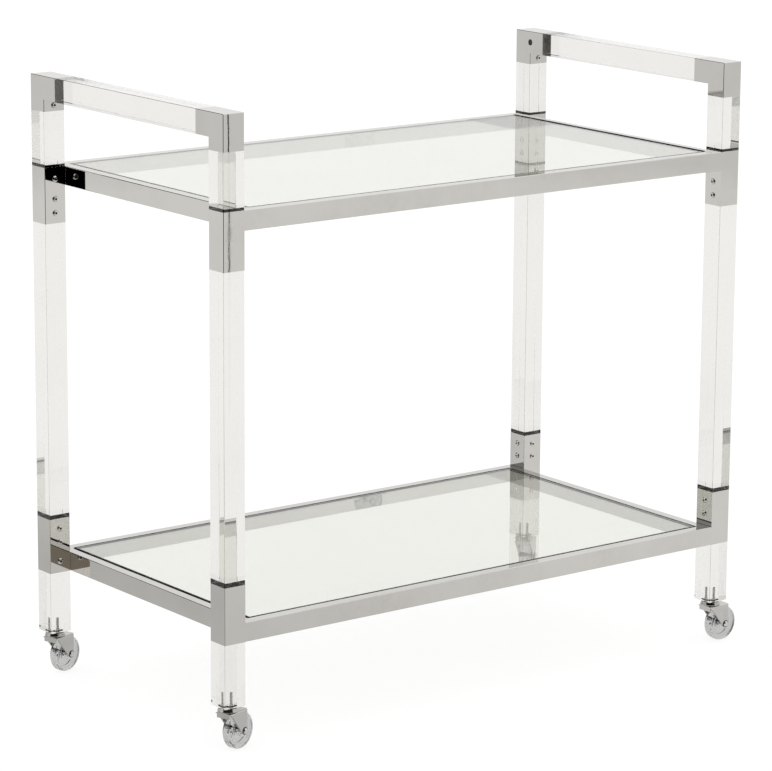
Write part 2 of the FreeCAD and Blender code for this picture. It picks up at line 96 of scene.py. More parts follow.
# How far the strip round a glass stands above the rails, along each side
STRIP_RISE = {
    Level.LOWER: {Side.FRONT: 0.0003, Side.RIGHT: 0.0004, Side.BACK: 0.0003, Side.LEFT: 0.0013},
    Level.UPPER: {Side.FRONT: -0.0002, Side.RIGHT: 0.0010, Side.BACK: -0.0002,
                  Side.LEFT: -0.0002},
}


# Node trees


@dataclass
class Sheet:
    """A node tree being filled in."""

    tree: bpy.types.NodeTree
    placed: int = 0

    def add(self, kind: str, label: str = "", **settings: object) -> bpy.types.Node:
        """Adds one node.

        Args:
            kind: Blender's type name without the leading "ShaderNode".
            label: What the node is for, in plain words.
            **settings: Node attributes to set, such as operation or noise_dimensions.

        Returns:
            The new node.
        """
        node = self.tree.nodes.new("ShaderNode" + kind)
        node.label = label
        node.location = (220 * (self.placed % 8), -260 * (self.placed // 8))
        self.placed += 1
        for name, value in settings.items():
            setattr(node, name, value)
        return node

    def wire(self, source: bpy.types.NodeSocket, target: bpy.types.NodeSocket) -> None:
        """Joins an output socket to an input socket."""
        self.tree.links.new(source, target)

    def feed(self, value: object, target: bpy.types.NodeSocket) -> None:
        """Gives an input its value.

        Args:
            value: A socket to link, or a plain value.
            target: The input.
        """
        if isinstance(value, bpy.types.NodeSocket):
            self.wire(value, target)
        else:
            target.default_value = value

    def maths(self, operation: str, *values: object) -> bpy.types.NodeSocket:
        """Adds a Math node.

        Args:
            operation: Blender's name for the operation.
            *values: Sockets or numbers, in order.

        Returns:
            The result.
        """
        node = self.add("Math", operation=operation)
        for value, socket in zip(values, node.inputs):
            self.feed(value, socket)
        return node.outputs[0]

    def spread(self, value: object, low: float, high: float, to_low: object,
               to_high: object) -> bpy.types.NodeSocket:
        """Maps one range onto another, held at both ends.

        Args:
            value: The value to map.
            low: Where the first range starts.
            high: Where it ends.
            to_low: What low becomes.
            to_high: What high becomes.

        Returns:
            The mapped value.
        """
        node = self.add("MapRange", clamp=True)
        for given, socket in zip((value, low, high, to_low, to_high), node.inputs):
            self.feed(given, socket)
        return node.outputs[0]

    def noise(self, where: bpy.types.NodeSocket, scale: object, detail: float = 2.0,
              roughness: float = 0.5, label: str = "") -> bpy.types.NodeSocket:
        """Adds 3-D noise.

        Args:
            where: The place.
            scale: Its fineness, about one wave per metre for each unit.
            detail: Number of finer layers.
            roughness: Strength of the finer layers.
            label: What the noise is for.

        Returns:
            The noise, from 0 to 1.
        """
        node = self.add("TexNoise", label)
        self.wire(where, node.inputs["Vector"])
        self.feed(scale, node.inputs["Scale"])
        node.inputs["Detail"].default_value = detail
        node.inputs["Roughness"].default_value = roughness
        return node.outputs[0]

    def mix(self, share: object, first: object, second: object) -> bpy.types.NodeSocket:
        """Mixes two colours.

        Args:
            share: Share of the second colour.
            first: The first colour.
            second: The second colour.

        Returns:
            The mixed colour.
        """
        node = self.add("Mix", data_type="RGBA")
        self.feed(share, node.inputs[MIX_SHARE])
        self.feed(first, node.inputs[MIX_FIRST])
        self.feed(second, node.inputs[MIX_SECOND])
        return node.outputs[MIX_RESULT]

    def place(self) -> bpy.types.NodeSocket:
        """Returns the point on the piece, in metres, which moves with the piece."""
        return self.add("TexCoord", "point on the piece").outputs["Object"]


def rgba(colour: Triple) -> tuple[float, float, float, float]:
    """Returns a colour with full alpha."""
    return (*colour, 1.0)


def new_group(name: str, inputs: dict[str, float], outputs: tuple[str, ...]
              ) -> tuple[Sheet, bpy.types.Node, bpy.types.Node]:
    """Starts a node group whose sockets are all numbers.

    Args:
        name: The group's name.
        inputs: Each input's name and usual value.
        outputs: The outputs' names.

    Returns:
        The sheet, the group's input node and its output node.
    """
    tree = bpy.data.node_groups.new(name, "ShaderNodeTree")
    for label, value in inputs.items():
        socket = tree.interface.new_socket(label, in_out="INPUT", socket_type="NodeSocketFloat")
        socket.default_value = value
    for label in outputs:
        tree.interface.new_socket(label, in_out="OUTPUT", socket_type="NodeSocketFloat")
    return Sheet(tree), tree.nodes.new("NodeGroupInput"), tree.nodes.new("NodeGroupOutput")


class Effects:
    """The node groups that several finishes use, each built once."""

    line_turns: tuple[Triple, ...] = ((0.0, 0.0, 0.0), (0.0, math.pi / 2, 0.3),
                                      (math.pi / 2, 0.2, 0.9))
    streaks_per_smear: float = 11.0
    speck_fineness: float = 260.0
    clump_fineness: float = 120.0
    short_waves_per_long: float = 4.5
    short_wave_height: float = 0.12

    def __init__(self) -> None:
        """Builds the groups."""
        self.polish = self._polish_lines()
        self.film = self._handling_film()
        self.ripple = self._ripple()

    def _polish_lines(self) -> bpy.types.NodeTree:
        """Builds the fine lines that a polishing wheel or a cloth leaves, running three ways.

        Returns:
            The group.
        """
        sheet, given, made = new_group(
            "polish lines", {"Fineness": 900.0, "Stretch": 40.0}, ("Lines",))
        where = sheet.place()
        total = None
        for turn in self.line_turns:
            swung = sheet.add("VectorRotate", rotation_type="EULER_XYZ")
            sheet.wire(where, swung.inputs["Vector"])
            swung.inputs["Rotation"].default_value = turn
            pulled = sheet.add("VectorMath", operation="MULTIPLY")
            sheet.wire(swung.outputs[0], pulled.inputs[0])
            factor = sheet.add("CombineXYZ")
            slow = sheet.maths("DIVIDE", given.outputs["Fineness"], given.outputs["Stretch"])
            sheet.wire(given.outputs["Fineness"], factor.inputs[0])
            sheet.wire(given.outputs["Fineness"], factor.inputs[1])
            sheet.wire(slow, factor.inputs[2])
            sheet.wire(factor.outputs[0], pulled.inputs[1])
            lines = sheet.noise(pulled.outputs[0], 1.0, 3.0, 0.6)
            total = lines if total is None else sheet.maths("ADD", total, lines)
        mean = sheet.maths("DIVIDE", total, float(len(self.line_turns)))
        sheet.wire(mean, made.inputs["Lines"])
        return sheet.tree

    def _handling_film(self) -> bpy.types.NodeTree:
        """Builds a faint film of wiped smears with specks of dust on it.

        Returns:
            The group.
        """
        sheet, given, made = new_group(
            "handling film", {"Smear size": 9.0, "Dust": 0.5}, ("Film", "Dust"))
        where = sheet.place()
        broad = sheet.noise(where, given.outputs["Smear size"], 4.0, 0.62, "smears")
        smear = sheet.spread(broad, 0.42, 0.68, 0.0, 1.0)
        streak_scale = sheet.maths("MULTIPLY", given.outputs["Smear size"],
                                   self.streaks_per_smear)
        streaks = sheet.noise(where, streak_scale, 2.0, 0.7, "streaks")
        film = sheet.maths("MULTIPLY", smear, sheet.spread(streaks, 0.3, 0.7, 0.35, 1.0))
        specks = sheet.add("TexVoronoi", "specks")
        sheet.wire(where, specks.inputs["Vector"])
        specks.inputs["Scale"].default_value = self.speck_fineness
        near = sheet.spread(specks.outputs["Distance"], 0.05, 0.11, 1.0, 0.0)
        sparse = sheet.spread(sheet.noise(where, self.clump_fineness), 0.56, 0.62, 0.0, 1.0)
        dust = sheet.maths("MULTIPLY", sheet.maths("MULTIPLY", near, sparse),
                           given.outputs["Dust"])
        sheet.wire(film, made.inputs["Film"])
        sheet.wire(dust, made.inputs["Dust"])
        return sheet.tree

    def _ripple(self) -> bpy.types.NodeTree:
        """Builds the slow unevenness of polished sheet or cast plastic.

        Returns:
            The group.
        """
        sheet, given, made = new_group("ripple", {"Waves per metre": 16.0}, ("Height",))
        where = sheet.place()
        slow = sheet.noise(where, given.outputs["Waves per metre"], 1.0, 0.4, "long waves")
        quick_scale = sheet.maths("MULTIPLY", given.outputs["Waves per metre"],
                                  self.short_waves_per_long)
        quick = sheet.noise(where, quick_scale, 1.0, 0.4, "short waves")
        both = sheet.maths("MULTIPLY_ADD", quick, self.short_wave_height, slow)
        sheet.wire(both, made.inputs["Height"])
        return sheet.tree


@dataclass(frozen=True)
class Finish:
    """What every finish shares: a material with a Principled shader and a bump chain."""

    name: str

    def start(self) -> tuple[bpy.types.Material, Sheet, bpy.types.Node]:
        """Starts the material.

        Returns:
            The material, its sheet and its Principled shader.
        """
        material = bpy.data.materials.new(self.name)
        material.use_nodes = True
        sheet = Sheet(material.node_tree)
        shader = material.node_tree.nodes["Principled BSDF"]
        return material, sheet, shader

    @staticmethod
    def use(sheet: Sheet, group: bpy.types.NodeTree, **values: float) -> bpy.types.Node:
        """Places a node group.

        Args:
            sheet: The material's node sheet.
            group: The group.
            **values: Its inputs, with underscores standing for spaces.

        Returns:
            The group's node.
        """
        node = sheet.add("Group", group.name, node_tree=group)
        for name, value in values.items():
            node.inputs[name.replace("_", " ")].default_value = value
        return node

    @staticmethod
    def bump(sheet: Sheet, shader: bpy.types.Node,
             layers: tuple[tuple[bpy.types.NodeSocket, float], ...]) -> None:
        """Chains one Bump node per layer into the shader's normal.

        Args:
            sheet: The material's node sheet.
            shader: Its Principled shader.
            layers: (height, depth in metres) of each layer.
        """
        normal = None
        for height, depth in layers:
            node = sheet.add("Bump")
            node.inputs["Distance"].default_value = depth
            sheet.wire(height, node.inputs["Height"])
            if normal is not None:
                sheet.wire(normal, node.inputs["Normal"])
            normal = node.outputs[0]
        sheet.wire(normal, shader.inputs["Normal"])


@dataclass(frozen=True)
class PolishedMetal(Finish):
    """Bright plated or polished metal."""

    light: Triple = (0.575, 0.56, 0.53)
    dull: Triple = (0.53, 0.51, 0.475)
    dusty: Triple = (0.7, 0.69, 0.66)
    roughness: tuple[float, float] = (0.006, 0.035)
    line_roughness: tuple[float, float] = (-0.012, 0.02)
    speck_roughness: float = 0.4
    fineness: float = 900.0
    ripple_depth: float = 0.00012
    waves_per_metre: float = 8.0
    line_depth: float = 0.0000003
    smear_size: float = 8.0
    dust: float = 0.5

    def make(self, effects: Effects) -> bpy.types.Material:
        """Builds the material.

        Args:
            effects: The shared node groups.

        Returns:
            The material.
        """
        material, sheet, shader = self.start()
        film = self.use(sheet, effects.film, Smear_size=self.smear_size, Dust=self.dust)
        polish = self.use(sheet, effects.polish, Fineness=self.fineness)
        ripple = self.use(sheet, effects.ripple, Waves_per_metre=self.waves_per_metre)
        shader.inputs["Metallic"].default_value = 1.0
        tone = sheet.mix(film.outputs["Film"], rgba(self.light), rgba(self.dull))
        sheet.wire(sheet.mix(film.outputs["Dust"], tone, rgba(self.dusty)),
                   shader.inputs["Base Color"])
        wiped = sheet.spread(film.outputs["Film"], 0.0, 1.0, *self.roughness)
        lined = sheet.spread(polish.outputs["Lines"], 0.35, 0.65, *self.line_roughness)
        dusty = sheet.maths("MULTIPLY_ADD", film.outputs["Dust"], self.speck_roughness,
                            sheet.maths("ADD", wiped, lined))
        sheet.wire(dusty, shader.inputs["Roughness"])
        self.bump(sheet, shader, ((ripple.outputs["Height"], self.ripple_depth),
                                  (polish.outputs["Lines"], self.line_depth)))
        return material


@dataclass(frozen=True)
class ClearSolid(Finish):
    """Solid clear material: cast acrylic bar, float glass or a moulded wheel."""

    clear: Triple = (0.815, 0.80, 0.775)
    hazed: Triple = (0.785, 0.77, 0.745)
    refraction: float = 1.49
    roughness: tuple[float, float] = (0.0, 0.006)
    speck_roughness: float = 0.03
    ripple_depth: float = 0.000003
    waves_per_metre: float = 18.0
    smear_size: float = 12.0
    dust: float = 0.12

    def make(self, effects: Effects) -> bpy.types.Material:
        """Builds the material.

        Args:
            effects: The shared node groups.

        Returns:
            The material.
        """
        material, sheet, shader = self.start()
        film = self.use(sheet, effects.film, Smear_size=self.smear_size, Dust=self.dust)
        ripple = self.use(sheet, effects.ripple, Waves_per_metre=self.waves_per_metre)
        shader.inputs["Transmission Weight"].default_value = 1.0
        shader.inputs["IOR"].default_value = self.refraction
        tone = sheet.mix(film.outputs["Film"], rgba(self.clear), rgba(self.hazed))
        sheet.wire(tone, shader.inputs["Base Color"])
        wiped = sheet.spread(film.outputs["Film"], 0.0, 1.0, *self.roughness)
        sheet.wire(sheet.maths("MULTIPLY_ADD", film.outputs["Dust"], self.speck_roughness, wiped),
                   shader.inputs["Roughness"])
        self.bump(sheet, shader, ((ripple.outputs["Height"], self.ripple_depth),))
        return material


@dataclass(frozen=True)
class MattRubber(Finish):
    """Matt glazing rubber or sealant with a fine grain and a little dust."""

    clean: Triple = (0.012, 0.012, 0.013)
    greyed: Triple = (0.045, 0.045, 0.043)
    shine: float = 0.2
    roughness: tuple[float, float] = (0.42, 0.6)
    grain_fineness: float = 2600.0
    grain_depth: float = 0.00008
    smear_size: float = 30.0

    def make(self, effects: Effects) -> bpy.types.Material:
        """Builds the material.

        Args:
            effects: The shared node groups.

        Returns:
            The material.
        """
        material, sheet, shader = self.start()
        film = self.use(sheet, effects.film, Smear_size=self.smear_size, Dust=1.0)
        shader.inputs["Specular IOR Level"].default_value = self.shine
        grain = sheet.noise(sheet.place(), self.grain_fineness, 3.0, 0.7, "grain")
        sheet.wire(sheet.mix(film.outputs["Film"], rgba(self.clean), rgba(self.greyed)),
                   shader.inputs["Base Color"])
        sheet.wire(sheet.spread(grain, 0.3, 0.7, *self.roughness), shader.inputs["Roughness"])
        self.bump(sheet, shader, ((grain, self.grain_depth),))
        return material


class Palette:
    """Every finish of the cart as a Blender material."""

    def __init__(self) -> None:
        """Builds the materials."""
        effects = Effects()
        self.chrome = PolishedMetal("polished chrome").make(effects)
        self.caster_chrome = PolishedMetal(
            "caster chrome", light=(0.52, 0.51, 0.49), dull=(0.42, 0.405, 0.38),
            roughness=(0.02, 0.09), fineness=1600.0, ripple_depth=0.00004, dust=0.8).make(effects)
        self.cup_chrome = PolishedMetal(
            "turned caster chrome", light=(0.46, 0.455, 0.44), dull=(0.34, 0.33, 0.31),
            roughness=(0.02, 0.12), fineness=1800.0, ripple_depth=0.00002,
            dust=0.8).make(effects)
        self.screw_steel = PolishedMetal(
            "screw steel", light=(0.62, 0.61, 0.59), dull=(0.48, 0.47, 0.45),
            roughness=(0.03, 0.1), fineness=2600.0, ripple_depth=0.00001).make(effects)
        self.ball_steel = PolishedMetal(
            "bearing steel", light=(0.5, 0.49, 0.47), dull=(0.3, 0.27, 0.22),
            roughness=(0.1, 0.3), fineness=3000.0, ripple_depth=0.00001).make(effects)
        self.acrylic = ClearSolid("cast acrylic").make(effects)
        self.clear_wheel = ClearSolid(
            "clear wheel plastic", clear=(0.52, 0.525, 0.52), hazed=(0.45, 0.45, 0.44),
            refraction=1.5, roughness=(0.01, 0.06), ripple_depth=0.00006,
            waves_per_metre=90.0, dust=0.4).make(effects)
        self.glass = ClearSolid(
            "shelf glass", clear=(0.785, 0.795, 0.735), hazed=(0.765, 0.775, 0.715),
            refraction=1.52, roughness=(0.0, 0.02), speck_roughness=0.0, ripple_depth=0.00001,
            waves_per_metre=7.0, smear_size=5.0, dust=0.3).make(effects)
        # Black glazing rubber for the strips round the glass; the same black also paints shade under
        # screw and axle heads, in screw sockets and inside two bracket holes
        self.rubber = MattRubber("black rubber and painted shade").make(effects)
        self.sealant = MattRubber("pale sealant", clean=(0.62, 0.62, 0.60),
                                  greyed=(0.74, 0.74, 0.72)).make(effects)


# Sub-assemblies


def new_object(name: str, form: bmesh.types.BMesh) -> bpy.types.Object:
    """Turns a mesh under construction into an object of the scene.

    Args:
        name: The object's name.
        form: The mesh, which is used up.

    Returns:
        The object.
    """
    mesh = bpy.data.meshes.new(name)
    form.to_mesh(mesh)
    form.free()
    made = bpy.data.objects.new(name, mesh)
    bpy.context.scene.collection.objects.link(made)
    return made


def smooth(piece: bpy.types.Object, sharp_deg: float = 40.0) -> None:
    """Shades a piece smooth.

    Args:
        piece: The piece.
        sharp_deg: Edges sharper than this angle stay sharp.
    """
    for face in piece.data.polygons:
        face.use_smooth = True
    piece.data.set_sharp_from_angle(angle=math.radians(sharp_deg))


def joined(name: str, pieces: list[bpy.types.Object]) -> bpy.types.Object:
    """Puts the meshes of several pieces, material slots kept, into one new piece.

    Args:
        name: The new piece's name.
        pieces: The pieces, which are used up.

    Returns:
        The new piece.
    """
    form = bmesh.new()
    for piece in pieces:
        form.from_mesh(piece.data)
        bpy.data.meshes.remove(piece.data)
    made = new_object(name, form)
    smooth(made)
    return made


def dress(node: str, material: bpy.types.Material) -> None:
    """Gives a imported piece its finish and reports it.

    Args:
        node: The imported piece's name.
        material: Its finish.
    """
    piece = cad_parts[node]
    piece.data.materials.clear()
    piece.data.materials.append(material)
    log.info("%s: %s", node, material.name)


def fit(piece: bpy.types.Object, body: str, finishes: list[bpy.types.Material],
        node: str = "") -> None:
    """Gives a built piece its finishes and its place in the cart, and reports it.

    Args:
        piece: The built piece.
        body: The body it moves with.
        finishes: Its materials, in order.
        node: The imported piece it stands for, if there is one.
    """
    for finish in finishes:
        piece.data.materials.append(finish)
    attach(piece, body)
    if node:
        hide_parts(node)
    log.info("%s: %s", piece.name, ", ".join(finish.name for finish in finishes))


@dataclass
class PostColumn:
    """One corner: bracket, sleeves and the three lengths of clear bar between them."""

    corner: Corner

    def dress(self, palette: Palette) -> None:
        """Gives the corner's pieces their finishes.

        Args:
            palette: The cart's materials.
        """
        for piece in ("handle_bracket", "upper_sleeve", "lower_sleeve"):
            dress(f"{piece}_{self.corner.value}", palette.chrome)
        for piece in ("top_post", "mid_post", "foot_post"):
            dress(f"{piece}_{self.corner.value}", palette.acrylic)


@dataclass
class HandleBars:
    """The two clear handles, one across each end of the cart."""

    ends: tuple[str, ...] = ("left", "right")

    def dress(self, palette: Palette) -> None:
        """Gives the handles their finish."""
        for end in self.ends:
            dress(f"handle_bar_{end}", palette.acrylic)


@dataclass
class GlazingBead:
    """The rubber strip pushed in between a shelf's glass and its rails.

    It sits a little higher along some sides than along others, as a hand-fitted strip does, and
    where it sits lowest it is covered with pale sealant.
    """

    level: Level
    proud: dict[Side, float]
    width: float = 0.0014
    depth: float = 0.0017
    glass_corner: float = 0.003
    corner_steps: int = 8
    side_steps: int = 40
    crown_steps: int = 6
    crown_share: float = 0.6
    unevenness: float = 0.00005
    waves_per_side: int = 3
    sealed_below: float = -0.00012

    def build(self) -> bpy.types.Object:
        """Builds the strip as one closed ring.

        Returns:
            The strip.
        """
        shelf_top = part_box(f"{self.level.value}_rail_front")[1].z
        form = bmesh.new()
        stations = self._path()
        rings = [self._section(form, at, out, shelf_top + proud) for at, out, proud in stations]
        for first, second, station in zip(rings, rings[1:] + rings[:1], stations):
            for here, there in zip(range(len(first)), [*range(1, len(first)), 0]):
                face = form.faces.new((first[here], second[here], second[there], first[there]))
                face.material_index = int(station[2] < self.sealed_below)
        bmesh.ops.recalc_face_normals(form, faces=form.faces)
        bead = new_object(f"{self.level.value}_glazing_bead", form)
        smooth(bead)
        return bead

    def _path(self) -> list[tuple[Vector, Vector, float]]:
        """Walks round the strip.

        Returns:
            For each station its point on the outer edge, outward direction and rise.
        """
        low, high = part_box(f"{self.level.value}_gasket")
        radius = self.glass_corner + self.width
        half = Vector(((high.x - low.x) / 2 - radius, (high.y - low.y) / 2 - radius))
        order = [Side.RIGHT, Side.BACK, Side.LEFT, Side.FRONT]
        signs = [(1, 1), (-1, 1), (-1, -1), (1, -1)]
        stations = []
        for turn, side in enumerate(order):
            following = order[(turn + 1) % 4]
            corner = Vector((signs[turn][0] * half.x, signs[turn][1] * half.y))
            back_sign = signs[turn - 1]
            start = Vector((back_sign[0] * half.x, back_sign[1] * half.y))
            out = self._outward(turn * math.pi / 2)
            for step in range(1, self.side_steps):
                share = step / self.side_steps
                wave = math.sin(2 * math.pi * self.waves_per_side * share + turn)
                rise = self.proud[side] + self.unevenness * wave
                stations.append((start.lerp(corner, share) + out * radius, out, rise))
            for step in range(self.corner_steps + 1):
                share = step / self.corner_steps
                out = self._outward((turn + share) * math.pi / 2)
                rise = self.proud[side] * (1 - share) + self.proud[following] * share
                stations.append((corner + out * radius, out, rise))
        return stations

    @staticmethod
    def _outward(angle: float) -> Vector:
        """Returns the unit vector at an angle from +X."""
        return Vector((math.cos(angle), math.sin(angle)))

    def _section(self, form: bmesh.types.BMesh, at: Vector, out: Vector,
                 top: float) -> list[bmesh.types.BMVert]:
        """Adds one cross-section with a crowned top.

        Args:
            form: The mesh being built.
            at: Point (x, y) on the strip's outer edge.
            out: Unit vector (x, y) from the glass towards the rail.
            top: Height of its crown.

        Returns:
            The section's corners in order.
        """
        half = self.width / 2
        crown = half * self.crown_share
        bottom = top - self.depth
        outline = [(0.0, bottom)]
        for step in range(self.crown_steps + 1):
            angle = math.pi * step / self.crown_steps
            outline.append((half - half * math.cos(angle), top - crown + crown * math.sin(angle)))
        outline.append((self.width, bottom))
        corners = []
        for inward, height in outline:
            place = at - out * inward
            corners.append(form.verts.new((place.x, place.y, height)))
        return corners


@dataclass
class Shelf:
    """A mitred chrome frame with a ledge, a glass and the rubber round it."""

    level: Level
    strip_proud: dict[Side, float]

    def dress(self, palette: Palette) -> None:
        """Gives the shelf's pieces their finishes and fits the rubber strip.

        Args:
            palette: The cart's materials.
        """
        name = self.level.value
        for side in Side:
            dress(f"{name}_rail_{side.value}", palette.chrome)
        dress(f"{name}_ledge", palette.chrome)
        dress(f"{name}_glass", palette.glass)
        bead = GlazingBead(self.level, self.strip_proud).build()
        fit(bead, "frame", [palette.rubber, palette.sealant], f"{name}_gasket")


def turned(name: str, outline: Outline, base: Vector, axis: Vector,
           segments: int = 64) -> bpy.types.Object:
    """Builds a piece turned on a lathe.

    Args:
        name: The piece's name.
        outline: (radius, height along the axis) points from one end to the other, in metres.
        base: The point of the axis at height 0.
        axis: Direction of the axis.
        segments: Number of flats round the axis.

    Returns:
        The new piece.
    """
    form = bmesh.new()
    along = axis.normalized()
    side = along.orthogonal().normalized()
    other = along.cross(side)
    rings = []
    for radius, height in outline:
        centre = base + along * height
        angles = [2 * math.pi * step / segments for step in range(segments if radius else 1)]
        rings.append([form.verts.new(centre + radius * (side * math.cos(angle)
                                                        + other * math.sin(angle)))
                      for angle in angles])
    for first, second in zip(rings, rings[1:]):
        for here in range(segments):
            there = (here + 1) % segments
            corners = (first[here % len(first)], first[there % len(first)],
                       second[there % len(second)], second[here % len(second)])
            form.faces.new(list(dict.fromkeys(corners)))
    bmesh.ops.recalc_face_normals(form, faces=form.faces)
    made = new_object(name, form)
    smooth(made)
    return made


def arc(centre: tuple[float, float], radii: tuple[float, float], start_deg: float,
        end_deg: float, steps: int = 10) -> Outline:
    """Returns outline points along part of an ellipse.

    Args:
        centre: (radius, height) of the ellipse's centre.
        radii: Half its width and half its height.
        start_deg: Angle of the first point, from the outward direction.
        end_deg: Angle of the last point.
        steps: Number of pieces.

    Returns:
        The points, both ends included.
    """
    points = []
    for step in range(steps + 1):
        angle = math.radians(start_deg + (end_deg - start_deg) * step / steps)
        points.append((centre[0] + radii[0] * math.cos(angle),
                       centre[1] + radii[1] * math.sin(angle)))
    return points


@dataclass
class RaceCup:
    """The fixed top of a caster: a domed cup over the balls, the king pin and the threaded stud.

    Heights run from the underside of the foot, upwards.
    """

    corner: Corner
    flat_radius: float = 0.0085
    wall_radius: float = 0.0131
    lip_radius: float = 0.0142
    dome_height: float = 0.0046
    rim_height: float = -0.0075
    inner_radius: float = 0.0121
    ceiling: float = -0.0014
    ceiling_radius: float = 0.0100
    pin_radius: float = 0.0030
    pin_end: float = -0.0108
    pin_head_radius: float = 0.0050
    pin_head_height: float = 0.0020
    pin_head_round: float = 0.0008
    race_drop: float = 0.0021
    lip_arc_deg: tuple[float, float] = (180.0, 380.0)
    shoulder: tuple[float, float] = (0.0045, 0.0035)
    stud_length: float = 0.0190
    thread_pitch: float = 0.0010
    thread_depth: float = 0.00035

    def build(self) -> bpy.types.Object:
        """Builds the cup with its pin and stud as one turned piece.

        Returns:
            The piece.
        """
        low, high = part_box(f"caster_stem_{self.corner.value}")
        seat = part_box(f"foot_post_{self.corner.value}")[0].z
        base = Vector(((low.x + high.x) / 2, (low.y + high.y) / 2, seat))
        return turned(f"race_cup_{self.corner.value}", self._outline(), base, Vector((0, 0, 1)))

    def _outline(self) -> Outline:
        """Draws the outline from the pin's riveted head up to the tip of the stud.

        Returns:
            Its (radius, height) points.
        """
        head = self.pin_end - self.pin_head_height
        lip = (self.lip_radius - self.inner_radius) / 2
        edge = self.pin_head_round
        points = [(0.0, head), *arc((self.pin_head_radius - edge, head + edge),
                                    (edge, edge), -90.0, 0.0, 4)]
        points += [(self.pin_head_radius, self.pin_end), (self.pin_radius, self.pin_end)]
        points += [(self.pin_radius, self.ceiling), (self.ceiling_radius, self.ceiling)]
        points += [(self.inner_radius, self.ceiling - self.race_drop)]
        points += arc((self.inner_radius + lip, self.rim_height + lip), (lip, lip),
                      *self.lip_arc_deg)
        points += arc((self.flat_radius, -self.dome_height),
                      (self.wall_radius - self.flat_radius, self.dome_height), 0.0, 90.0, 14)
        points += [(self.shoulder[0], 0.0), self.shoulder, (self.pin_radius, self.shoulder[1])]
        ridges = int((self.stud_length - self.shoulder[1]) / self.thread_pitch)
        for ridge in range(ridges):
            foot = self.shoulder[1] + self.thread_pitch * (ridge + 0.5)
            points.append((self.pin_radius - self.thread_depth, foot))
            points.append((self.pin_radius, foot + self.thread_pitch / 2))
        return [*points, (self.pin_radius - 2 * self.thread_depth, self.stud_length),
                (0.0, self.stud_length)]


@dataclass
class AxleRivet:
    """A caster's axle: a rod with a domed head at each end and, under each head, a black ring of
    painted shade.
    """

    corner: Corner
    rod_radius: float = 0.0030
    half_grip: float = 0.0120
    # Black ring under each head, wider than the head: painted shade round the head
    shade_ring_radius: float = 0.0050
    shade_ring_height: float = 0.0005
    head_radius: float = 0.0041
    head_height: float = 0.0019
    dish_radius: float = 0.0016
    dish_depth: float = 0.0004
    dish_edge_deg: float = 82.0
    shade_ring_margin: float = 0.0001

    def build(self) -> bpy.types.Object:
        """Builds the axle with its black rings of painted shade.

        Returns:
            The axle, whose second material slot is the black rings of painted shade.
        """
        corner = self.corner.value
        low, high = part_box(f"caster_axle_{corner}")
        stem_low, stem_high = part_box(f"caster_stem_{corner}")
        centre = (low + high) / 2
        trail = centre - (stem_low + stem_high) / 2
        axis = Vector((-trail.y, trail.x, 0.0))
        axle = turned(f"axle_{corner}", self._outline(), centre, axis)
        outer = self.half_grip + self.shade_ring_height + TOUCH
        for face in axle.data.polygons:
            reach = abs((face.center - centre).dot(axis.normalized()))
            # Faces of the ring under each head get the black second finish: painted shade
            face.material_index = int(self.half_grip - self.shade_ring_margin < reach < outer)
        return axle

    def _outline(self) -> Outline:
        """Draws the outline from one head's middle to the other's.

        Returns:
            Its (radius, height) points.
        """
        base = self.half_grip + self.shade_ring_height
        top = base + self.head_height
        points = [(0.0, top - self.dish_depth), (self.dish_radius, top - self.dish_depth / 3)]
        points += arc((self.dish_radius, base), (self.head_radius - self.dish_radius,
                                                 self.head_height),
                      self.dish_edge_deg, 0.0, 8)
        points += [(self.shade_ring_radius, base), (self.shade_ring_radius, self.half_grip),
                   (self.rod_radius, self.half_grip)]
        mirrored = [(radius, -height) for radius, height in reversed(points)]
        return points + mirrored


@dataclass
class Caster:
    """A swivelling caster: race cup, fork, axle and clear wheel."""

    corner: Corner

    def dress(self, palette: Palette) -> None:
        """Builds the turned pieces and gives every piece of the caster its finish.

        Args:
            palette: The cart's materials.
        """
        corner = self.corner.value
        dress(f"caster_fork_{corner}", palette.caster_chrome)
        dress(f"caster_wheel_{corner}", palette.clear_wheel)
        fit(RaceCup(self.corner).build(), "frame", [palette.cup_chrome],
            f"caster_stem_{corner}")
        # The axle's black second finish paints shade rings under its heads
        fit(AxleRivet(self.corner).build(), f"swivel_{corner}",
            [palette.screw_steel, palette.rubber], f"caster_axle_{corner}")


